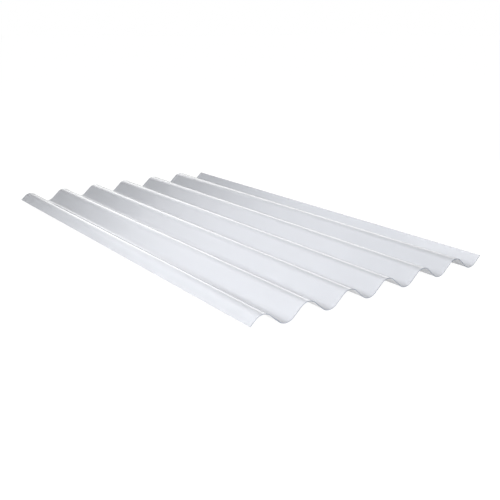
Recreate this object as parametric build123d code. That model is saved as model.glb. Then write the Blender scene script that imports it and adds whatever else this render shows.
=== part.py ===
from build123d import *

import os
from math import asin, atan2, ceil, cos, hypot, tan

# A corrugated roofing sheet of clear PVC, in the 177/51 profile.
#
# The sheet is one skin of even wall, extruded along Y. Its section is a wave along X: equal round
# crests and troughs, joined by short straight flanks that run tangent to both. It lies on its
# troughs, with the floor at Z = 0, and the origin is under the middle of it. Sizes are in millimetres.
#
# Seen along +Y, the left edge stops half way down the flank before the first crest. The right edge
# stops high on the flank that would climb to one more crest. The low edge of the next sheet covers
# that high edge, which makes the side lap.

# The profile
pitch = 177.0  # from crest to crest
overall_depth = 51.0  # from the floor to the top of a crest
wall = 1.2  # thickness of the skin, square to its surface
flank_flat = 42.0  # straight stretch of a flank, between the rounds of a crest and a trough
crest_count = 6

# The sheet
sheet_length = 2000.0
left_run = 48.0  # from the left edge to the top of the first crest, across the waves
right_run = 146.0  # from the top of the last crest to the right edge, across the waves

# The middle line of the skin rises by the overall depth less one wall. Crests and troughs are
# rounded to one radius, the one that leaves the straight stretch its length.
half_pitch = pitch / 2
rise = overall_depth - wall
middle_height = overall_depth / 2
bend_radius = (half_pitch**2 + rise**2 - flank_flat**2) / (4 * rise)
bend_gap = 2 * bend_radius - rise
flank_angle = asin(2 * bend_radius / hypot(half_pitch, bend_gap)) - atan2(bend_gap, half_pitch)
corner_rise = half_pitch / 2 * tan(flank_angle)

sheet_width = left_run + (crest_count - 1) * pitch + right_run
first_crest_x = left_run - sheet_width / 2


def skin_line(side):
    """One face of the skin in the XZ plane: side is 1 for the top and -1 for the underside.

    Both faces are zigzags of the flanks' own slope with every corner rounded. They reach past the
    sheet's edges, so that each bend there is round too before the edges are cut.
    """
    before = ceil(left_run / half_pitch) + 1
    after = ceil(right_run / half_pitch) + 1
    steps = range(-before, 2 * (crest_count - 1) + after + 1)
    shift = side * wall / 2 / cos(flank_angle)
    corners = []
    radii = []
    for step in steps:
        up = 1 if step % 2 == 0 else -1
        corners.append((first_crest_x + step * half_pitch, middle_height + up * corner_rise + shift))
        radii.append(bend_radius + up * side * wall / 2)
    return FilletPolyline(*corners, radius=radii[1:-1])


def wave_section():
    """The skin between its two faces, cut to the sheet's width."""
    top = skin_line(1)
    underside = skin_line(-1)
    left_end = Line(top @ 0, underside @ 0)
    right_end = Line(top @ 1, underside @ 1)
    skin = make_face(top + right_end + underside + left_end)
    width_cut = Pos(0, middle_height) * Rectangle(sheet_width, 4 * overall_depth)
    return skin & width_cut


def corrugated_sheet():
    """The section, stood up in the XZ plane and drawn out to the sheet's length along Y."""
    return extrude(Plane.XZ * wave_section(), amount=sheet_length / 2, both=True)


os.makedirs("parts", exist_ok=True)
sheet = corrugated_sheet()
export_step(sheet, "parts/corrugated_sheet.step")
box = sheet.bounding_box()
print(f"bend radius {bend_radius:.2f}, flank angle in radians {flank_angle:.4f}")
print(f"size {box.size.X:.2f} x {box.size.Y:.2f} x {box.size.Z:.2f}, lowest {box.min.Z:.3f}")
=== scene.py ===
from math import asin, atan2, cos, hypot, pi, radians, sin

import bpy
from mathutils import Matrix, Vector


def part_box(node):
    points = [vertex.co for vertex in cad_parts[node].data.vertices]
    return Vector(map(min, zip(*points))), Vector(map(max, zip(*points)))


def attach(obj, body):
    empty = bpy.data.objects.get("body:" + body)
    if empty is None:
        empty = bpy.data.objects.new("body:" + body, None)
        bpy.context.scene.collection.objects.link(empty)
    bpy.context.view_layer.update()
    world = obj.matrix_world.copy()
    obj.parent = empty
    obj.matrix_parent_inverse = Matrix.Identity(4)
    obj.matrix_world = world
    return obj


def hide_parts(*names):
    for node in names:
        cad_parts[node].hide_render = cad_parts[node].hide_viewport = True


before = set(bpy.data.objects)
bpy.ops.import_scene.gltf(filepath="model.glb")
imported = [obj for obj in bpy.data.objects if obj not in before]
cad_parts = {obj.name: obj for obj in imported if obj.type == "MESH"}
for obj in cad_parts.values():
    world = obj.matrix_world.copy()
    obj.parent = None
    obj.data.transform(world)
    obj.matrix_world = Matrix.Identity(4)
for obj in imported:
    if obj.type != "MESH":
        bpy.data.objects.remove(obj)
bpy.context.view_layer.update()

# The wavy skin
# One sheet of clear rigid PVC in the 177/51 profile. The real one is extruded flat and then rolled
# into waves, and it is rolled here too: the edge of a strip is turned round each bend and drawn
# straight along each flank. It gets its wall afterwards, and its long edges are trimmed upright.
PITCH = 0.177  # from crest to crest
WALL = 0.0012
FLANK_FLAT = 0.042  # straight stretch of a flank, between two bends
CREST_COUNT = 6
LEFT_RUN = 0.048  # from the left edge to the first crest
BEND_STEPS = 32
EDGE_EASE = 0.00012
CUT_EDGE_ANGLE = radians(60)
SMOOTH_ANGLE = radians(30)

# Crests and troughs have the one radius that leaves the straight stretch its length.
sheet_low, sheet_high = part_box("corrugated_sheet")
half_pitch = PITCH / 2
rise = sheet_high.z - sheet_low.z - WALL
bend_radius = (half_pitch**2 + rise**2 - FLANK_FLAT**2) / (4 * rise)
bend_gap = 2 * bend_radius - rise
flank_angle = asin(2 * bend_radius / hypot(half_pitch, bend_gap)) - atan2(bend_gap, half_pitch)
first_crest_x = sheet_low.x + LEFT_RUN
middle_z = (sheet_low.z + sheet_high.z) / 2


def roll_bend(step):
    """Turns the free edge round one bend and draws the next flank.

    Steps are half pitches from the first crest, so crests are even and troughs are odd.
    """
    up = 1 if step % 2 == 0 else -1
    centre = (first_crest_x + step * half_pitch, 0, middle_z + up * (rise / 2 - bend_radius))
    bpy.ops.mesh.spin(steps=BEND_STEPS, angle=-up * 2 * flank_angle, center=centre, axis=(0, 1, 0))
    along_flank = Vector((cos(flank_angle), 0, -up * sin(flank_angle))) * FLANK_FLAT
    bpy.ops.mesh.extrude_region_move(TRANSFORM_OT_translate={"value": along_flank})


def trim(side_x, outward):
    """Cuts the sheet upright at a long edge and closes the cut."""
    bpy.ops.mesh.select_all(action="SELECT")
    bpy.ops.mesh.bisect(
        plane_co=(side_x, 0, 0), plane_no=(outward, 0, 0), use_fill=True, clear_outer=True
    )


bpy.ops.object.select_all(action="DESELECT")
bpy.ops.mesh.primitive_plane_add(
    size=1, location=(first_crest_x - half_pitch / 2, 0, middle_z), rotation=(0, -flank_angle, 0)
)
sheet = bpy.context.object
sheet.name = "wavy_sheet"
sheet.scale = (FLANK_FLAT, sheet_high.y - sheet_low.y, 1)
bpy.ops.object.transform_apply()

bpy.ops.object.mode_set(mode="EDIT")
bpy.ops.mesh.select_all(action="DESELECT")
bpy.ops.object.mode_set(mode="OBJECT")
strip_edge_x = max(vertex.co.x for vertex in sheet.data.vertices)
for vertex in sheet.data.vertices:
    vertex.select = abs(vertex.co.x - strip_edge_x) < WALL
bpy.ops.object.mode_set(mode="EDIT")
# The last bend and flank lie past the right edge, and are trimmed off.
for step in range(2 * CREST_COUNT + 1):
    roll_bend(step)
bpy.ops.object.mode_set(mode="OBJECT")

skin = sheet.modifiers.new("wall", "SOLIDIFY")
skin.thickness = WALL
skin.offset = 0
skin.use_even_offset = True
bpy.ops.object.modifier_apply(modifier=skin.name)

bpy.ops.object.mode_set(mode="EDIT")
trim(sheet_low.x, -1)
trim(sheet_high.x, 1)
bpy.ops.mesh.select_all(action="SELECT")
bpy.ops.mesh.normals_make_consistent(inside=False)
bpy.ops.object.mode_set(mode="OBJECT")

ease = sheet.modifiers.new("eased edges", "BEVEL")
ease.width = EDGE_EASE
ease.segments = 1
ease.limit_method = "ANGLE"
ease.angle_limit = CUT_EDGE_ANGLE
bpy.ops.object.modifier_apply(modifier=ease.name)
bpy.ops.object.shade_smooth_by_angle(angle=SMOOTH_ANGLE)

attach(sheet, "root")
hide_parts("corrugated_sheet")

# The clear plastic
# Rigid PVC comes out of its die glossy and clear, with a cold tint. Seen at a slant it mirrors more
# and lets less light through. The die leaves faint lines along the sheet, and the rolls that press
# the waves leave its surface very slightly uneven.
CLEAR_TINT = (0.867, 0.881, 0.918, 1)
LINE_TINT = (0.855, 0.869, 0.906, 1)
PVC_INDEX = 1.53
CLEARNESS = 0.58  # share of the light that gets through, where nothing is mirrored
GLOSS_ROUGHNESS = 0.03
LINE_ROUGHNESS = 0.02
LINE_STRETCH = (1, 0.012, 1)
LINE_SCALE = 160
LINE_DETAIL = 4
UNEVEN_STRETCH = (1, 0.25, 1)
UNEVEN_SCALE = 45
UNEVEN_DETAIL = 2
UNEVEN_HEIGHT = 0.000002


class Shade:
    """A socket of a shader's nodes. Arithmetic on it adds Math nodes, and node() any other kind."""

    def __init__(self, tree, socket=None):
        self.tree = tree
        self.socket = socket

    def node(self, kind, settings, sockets, output=0):
        """Adds a node, applies its settings, fills or links its inputs and returns one output."""
        added = self.tree.nodes.new(kind)
        for name, setting in settings.items():
            setattr(added, name, setting)
        for name, value in sockets.items():
            if isinstance(value, Shade):
                self.tree.links.new(value.socket, added.inputs[name])
            else:
                added.inputs[name].default_value = value
        return Shade(self.tree, added.outputs[output])

    def into(self, socket):
        """Links this socket into an input of a shader."""
        self.tree.links.new(self.socket, socket)

    def maths(self, operation, first, second):
        return self.node("ShaderNodeMath", {"operation": operation}, {0: first, 1: second})

    def __add__(self, other):
        return self.maths("ADD", self, other)

    __radd__ = __add__

    def __sub__(self, other):
        return self.maths("SUBTRACT", self, other)

    def __rsub__(self, other):
        return self.maths("SUBTRACT", other, self)

    def __mul__(self, other):
        return self.maths("MULTIPLY", self, other)

    __rmul__ = __mul__


def clear_pvc():
    """Clear glossy plastic, drawn along Y."""
    finish = bpy.data.materials.new("clear_pvc")
    finish.use_nodes = True
    tree = Shade(finish.node_tree)
    place = tree.node("ShaderNodeTexCoord", {}, {}, "Object")
    drawn = tree.node("ShaderNodeMapping", {}, {"Vector": place, "Scale": LINE_STRETCH})
    die_lines = tree.node(
        "ShaderNodeTexNoise", {}, {"Vector": drawn, "Scale": LINE_SCALE, "Detail": LINE_DETAIL}, "Fac"
    )
    rolled = tree.node("ShaderNodeMapping", {}, {"Vector": place, "Scale": UNEVEN_STRETCH})
    uneven = tree.node(
        "ShaderNodeTexNoise",
        {},
        {"Vector": rolled, "Scale": UNEVEN_SCALE, "Detail": UNEVEN_DETAIL},
        "Fac",
    )
    tint = tree.node(
        "ShaderNodeMix",
        {"data_type": "RGBA"},
        {"Factor": die_lines, "A": CLEAR_TINT, "B": LINE_TINT},
        "Result",
    )
    mirrored = tree.node("ShaderNodeFresnel", {}, {"IOR": PVC_INDEX})
    relief = tree.node(
        "ShaderNodeBump", {}, {"Height": uneven, "Strength": 1.0, "Distance": UNEVEN_HEIGHT}
    )
    shader = finish.node_tree.nodes["Principled BSDF"]
    shader.inputs["IOR"].default_value = PVC_INDEX
    shader.inputs["Coat Weight"].default_value = 1.0
    shader.inputs["Coat Roughness"].default_value = GLOSS_ROUGHNESS
    shader.inputs["Coat IOR"].default_value = PVC_INDEX
    tint.into(shader.inputs["Base Color"])
    (GLOSS_ROUGHNESS + LINE_ROUGHNESS * die_lines).into(shader.inputs["Roughness"])
    (1 - CLEARNESS * (1 - mirrored)).into(shader.inputs["Alpha"])
    relief.into(shader.inputs["Normal"])
    return finish


sheet.data.materials.append(clear_pvc())

# The cut ends
# The sheet is sawn to length. A sawn end is matt, with saw marks across the wall. Its deep blue
# colour is painted light: it stands in for the light that runs inside the tinted sheet and makes the
# thin wall look deep blue there.
CUT_BLUE = (0.0, 0.04, 0.12, 1)
CUT_PALE = (0.0, 0.075, 0.20, 1)
CUT_ROUGHNESS = 0.45
CUT_SHEEN_LEVEL = 0.2
SAW_SCALE = 900
SAW_DETAIL = 2
SAW_ROUGHNESS = 0.2
SAW_HEIGHT = 0.00004


def cut_end():
    """A sawn end with saw marks, painted deep blue for the light that runs inside the sheet."""
    finish = bpy.data.materials.new("cut_end")
    finish.use_nodes = True
    tree = Shade(finish.node_tree)
    place = tree.node("ShaderNodeTexCoord", {}, {}, "Object")
    marks = tree.node(
        "ShaderNodeTexNoise", {}, {"Vector": place, "Scale": SAW_SCALE, "Detail": SAW_DETAIL}, "Fac"
    )
    blue = tree.node(
        "ShaderNodeMix",
        {"data_type": "RGBA"},
        {"Factor": marks, "A": CUT_BLUE, "B": CUT_PALE},
        "Result",
    )
    relief = tree.node(
        "ShaderNodeBump", {}, {"Height": marks, "Strength": 1.0, "Distance": SAW_HEIGHT}
    )
    shader = finish.node_tree.nodes["Principled BSDF"]
    shader.inputs["IOR"].default_value = PVC_INDEX
    shader.inputs["Specular IOR Level"].default_value = CUT_SHEEN_LEVEL
    blue.into(shader.inputs["Base Color"])
    (CUT_ROUGHNESS + SAW_ROUGHNESS * marks).into(shader.inputs["Roughness"])
    relief.into(shader.inputs["Normal"])
    return finish


sheet.data.materials.append(cut_end())
for face in sheet.data.polygons:
    if abs(face.normal.y) > 0.5:
        face.material_index = 1

# The floor
# A plain floor, painted white, that reaches past the view. Most of what is seen of it is an even
# white of its own, and the rest is the lit paint, which keeps the sheet's shadow.
FLOOR_SIZE = 120
FLOOR_WHITE = 0.85
FLOOR_GLOW = 1.11
GLOW_SHARE = 0.88

bpy.ops.mesh.primitive_plane_add(size=FLOOR_SIZE, location=(0, 0, 0))
floor = bpy.context.object
floor.name = "floor"


def seen_directly(tree):
    """1 where the floor is seen, straight, mirrored or through glass, and 0 where it lights."""
    camera, mirrored, through = [
        tree.node("ShaderNodeLightPath", {}, {}, output)
        for output in ("Is Camera Ray", "Is Glossy Ray", "Is Transmission Ray")
    ]
    return tree.maths("MAXIMUM", tree.maths("MAXIMUM", camera, mirrored), through)


floor_paint = bpy.data.materials.new("white_floor")
floor_paint.use_nodes = True
floor_tree = Shade(floor_paint.node_tree)
paint = floor_paint.node_tree.nodes["Principled BSDF"]
paint.inputs["Base Color"].default_value = (FLOOR_WHITE, FLOOR_WHITE, FLOOR_WHITE, 1)
paint.inputs["Specular IOR Level"].default_value = 0
lit_paint = Shade(floor_paint.node_tree, paint.outputs[0])
even_white = floor_tree.node("ShaderNodeEmission", {}, {"Strength": FLOOR_GLOW})
glow = GLOW_SHARE * seen_directly(floor_tree)
surface = floor_tree.node("ShaderNodeMixShader", {}, {0: glow, 1: lit_paint, 2: even_white})
surface.into(floor_paint.node_tree.nodes["Material Output"].inputs["Surface"])
floor.data.materials.append(floor_paint)

# The light
# Four soft lights stand low behind the right side, a few centimetres apart in depth, and draw the
# bright lines along the crests. Four panels overhead give the flanks their broad soft shapes. Six
# lamps that gloss doesn't show light the sheet from above, from the front and from the left.
ROOM_LEVEL = 0.25
TO_SHEET = (-0.768, -0.640, 0)
DOWN = (0, 0, -1)

world = bpy.data.worlds.new("studio")
world.use_nodes = True
background = world.node_tree.nodes["Background"]
world_tree = Shade(world.node_tree)
to_camera = world_tree.node("ShaderNodeLightPath", {}, {}, "Is Camera Ray")
(ROOM_LEVEL + (1 - ROOM_LEVEL) * to_camera).into(background.inputs["Strength"])
background.inputs["Color"].default_value = (1, 1, 1, 1)
bpy.context.scene.world = world


def softbox(name, size, place, facing, level, fade=None, turn=0, in_gloss=True):
    """A flat lamp that looks as bright as its level.

    Its light may fade towards its sides, over a share of its width and a share of its height.
    """
    lamp_data = bpy.data.lights.new(name, "AREA")
    lamp_data.shape = "RECTANGLE"
    lamp_data.size, lamp_data.size_y = size
    lamp_data.energy = level * size[0] * size[1] * pi
    if fade:
        lamp_data.use_nodes = True
        tree = Shade(lamp_data.node_tree)
        on_lamp = tree.node("ShaderNodeNewGeometry", {}, {}, "Parametric")
        strength = 1
        for axis, fade_share in zip("XY", fade):
            along = tree.node("ShaderNodeSeparateXYZ", {}, {"Vector": on_lamp}, axis)
            from_side = tree.maths("PINGPONG", along, 0.5)
            strength = strength * tree.node(
                "ShaderNodeMapRange",
                {"interpolation_type": "SMOOTHSTEP"},
                {"Value": from_side, "From Max": fade_share},
            )
        strength.into(lamp_data.node_tree.nodes["Emission"].inputs["Strength"])
    lamp = bpy.data.objects.new(name, lamp_data)
    lamp.location = place
    lamp.rotation_euler = Vector(facing).to_track_quat("-Z", "Y").to_euler()
    lamp.rotation_euler.rotate_axis("Z", turn)
    lamp.visible_camera = False
    lamp.visible_glossy = in_gloss
    bpy.context.scene.collection.objects.link(lamp)


softbox("back_softbox", (4.8, 1.5), (1.35, 1.773, 0.75), TO_SHEET, 1.45, fade=(0.3, 0.35))
softbox("far_softbox", (2.8, 0.95), (0.93, 2.464, 0.675), TO_SHEET, 0.63, fade=(0.22, 0.35))
softbox("side_softbox", (2.8, 1.9), (2.277, 0.723, 0.95), TO_SHEET, 0.61, fade=(0.25, 0.2))
softbox("low_softbox", (1.9, 0.45), (0.327, 2.938, 0.225), TO_SHEET, 0.34, fade=(0.25, 0.35))
softbox("back_panel", (1.15, 3.24), (-1.025, 3.38, 2.5), DOWN, 0.4)
softbox("middle_panel", (0.8, 1.44), (-0.05, 2.68, 2.5), DOWN, 0.19)
softbox("far_panel", (1.45, 2.0), (1.075, 4.4, 2.5), DOWN, 0.41)
softbox("corner_panel", (0.2, 1.6), (-0.018, 1.09, 2.5), DOWN, 1.3, turn=radians(-5.8))
softbox("left_lamp", (0.8, 1.8), (-1.2, -0.3, 1.0), DOWN, 2.15, in_gloss=False)
softbox("middle_lamp", (1.0, 1.0), (-0.1, 0.1, 0.8), DOWN, 0.91, in_gloss=False)
softbox("near_lamp", (0.9, 1.2), (-0.2, -0.7, 0.8), DOWN, 0.55, in_gloss=False)
softbox("right_lamp", (0.8, 1.2), (0.8, -0.7, 0.8), DOWN, 0.65, in_gloss=False)
softbox("front_fill", (2.5, 2.5), (-2.5, -3.0, 2.5), (2.5, 2.7, -2.5), 4.85, in_gloss=False)
softbox("left_fill", (2.5, 2.5), (-4.0, 0.5, 3.5), (4.0, -0.8, -3.5), 1.45, in_gloss=False)

# The camera
# It looks down along the waves from beyond the left corner of the near end. Its place and lens were
# fitted to the sheet's four corners and crest lines.
EYE = (-1.64408, -2.54023, 0.85703)
HEADING = radians(-36.698)
TILT = radians(90 - 18.464)
ROLL = radians(0.068)
LENS_MM = 50.476
SHIFT = 0.024

camera_data = bpy.data.cameras.new("camera")
camera_data.lens = LENS_MM
camera_data.shift_x = -SHIFT
camera_data.shift_y = SHIFT
camera = bpy.data.objects.new("camera", camera_data)
bpy.context.scene.collection.objects.link(camera)
camera.matrix_world = (
    Matrix.Translation(EYE)
    @ Matrix.Rotation(HEADING, 4, "Z")
    @ Matrix.Rotation(TILT, 4, "X")
    @ Matrix.Rotation(ROLL, 4, "Z")
)
bpy.context.scene.camera = camera
bpy.context.scene.view_settings.view_transform = "Standard"
